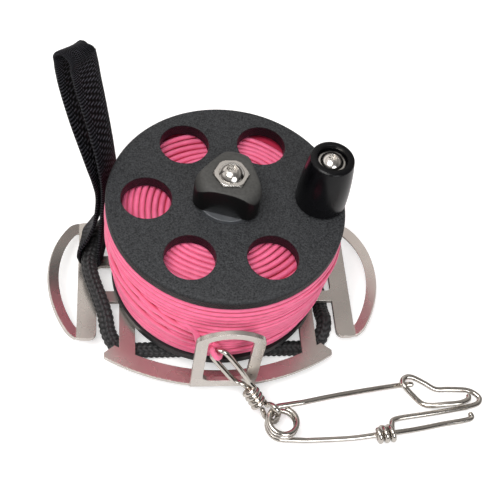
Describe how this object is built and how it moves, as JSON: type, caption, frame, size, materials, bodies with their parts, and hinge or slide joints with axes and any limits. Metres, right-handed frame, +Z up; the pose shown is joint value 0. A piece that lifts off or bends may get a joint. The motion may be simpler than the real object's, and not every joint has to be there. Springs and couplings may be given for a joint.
{
  "type": "belt-mounted line spool",
  "caption": "Belt reel for a float line: a crank-handled spool with a drag knob on a bent steel plate with belt slots, line guide, lashing cord, wrist strap and wire clip",
  "frame": {"origin": "the spool's axis at the underside of the plate", "axes": "+Z runs up the spool's axis away from the belt, +X points to the crank handle's side, the line guide stands at -Y"},
  "size_m": [0.1949, 0.1341, 0.123],
  "materials": {
    "plate_steel": "brushed stainless sheet",
    "spindle_steel": "turned",
    "flange_black": "fine speckled moulding",
    "flange_lower_black": "smooth",
    "knob_black": "satin",
    "grip_black": "polished",
    "bearing_white": "natural acetal",
    "screw_steel": "polished stainless",
    "wire_steel": "drawn spring wire",
    "line_pink": "braided line",
    "webbing_black": "ribbed webbing",
    "cord_black": "braided elastic cord"
  },
  "bodies": {
    "frame": {"frame_plate": "plate_steel", "spindle": "spindle_steel", "thrust_washer": "bearing_white", "lashing_cord": "cord_black", "wrist_strap": "webbing_black"},
    "spool": {"spool_body": "flange_black", "bottom_flange": "flange_lower_black", "flange_screws": "screw_steel", "lower_bush": "bearing_white", "upper_bush": "bearing_white", "line_core": "line_pink", "line_winding": "line_pink", "handle_sleeve": "screw_steel", "handle_washer": "screw_steel", "handle_screw": "screw_steel", "handle_nut": "screw_steel"},
    "grip": {"handle_grip": "grip_black"},
    "clamp": {"pressure_washer": "flange_lower_black"},
    "knob": {"drag_knob": "knob_black", "knob_nut": "screw_steel", "drag_screw": "screw_steel"},
    "eye": {"clip_eye": "wire_steel", "line_lead": "line_pink"},
    "clip": {"clip_body": "wire_steel", "clip_latch": "wire_steel"},
    "arm": {"clip_arm": "wire_steel"}
  },
  "joints": [
    {"name": "spool_spin", "type": "hinge", "parent": "frame", "child": "spool", "pos_m": [0, 0, 0.03], "axis": [0, 0, 1], "continuous": true},
    {"name": "grip_spin", "type": "hinge", "parent": "spool", "child": "grip", "pos_m": [0.0392, 0, 0.07], "axis": [0, 0, 1], "continuous": true},
    {"name": "clamp_lift", "type": "slide", "parent": "frame", "child": "clamp", "axis": [0, 0, 1], "range_m": [0, 0.0015]},
    {"name": "knob_turn", "type": "hinge", "parent": "clamp", "child": "knob", "pos_m": [0, 0, 0.066], "axis": [0, 0, 1], "range_deg": [0, 540]},
    {"name": "eye_swing", "type": "hinge", "parent": "frame", "child": "eye", "pos_m": [-0.0195, -0.0441, 0.0375], "axis": [0, 0, 1], "range_deg": [-4, 1]},
    {"name": "clip_swing", "type": "hinge", "parent": "eye", "child": "clip", "pos_m": [0.025, -0.0746, 0], "axis": [0, 0, 1], "range_deg": [-20, 10]},
    {"name": "arm_press", "type": "hinge", "parent": "clip", "child": "arm", "pos_m": [0.025, -0.0746, 0], "axis": [0, 0, 1], "range_deg": [-2, 0], "stiffness_Nm_per_rad": 0.2}
  ],
  "couplings": [
    {"joint": "knob_turn", "follows": "clamp_lift", "rad_per_m": 6283.2}
  ]
}
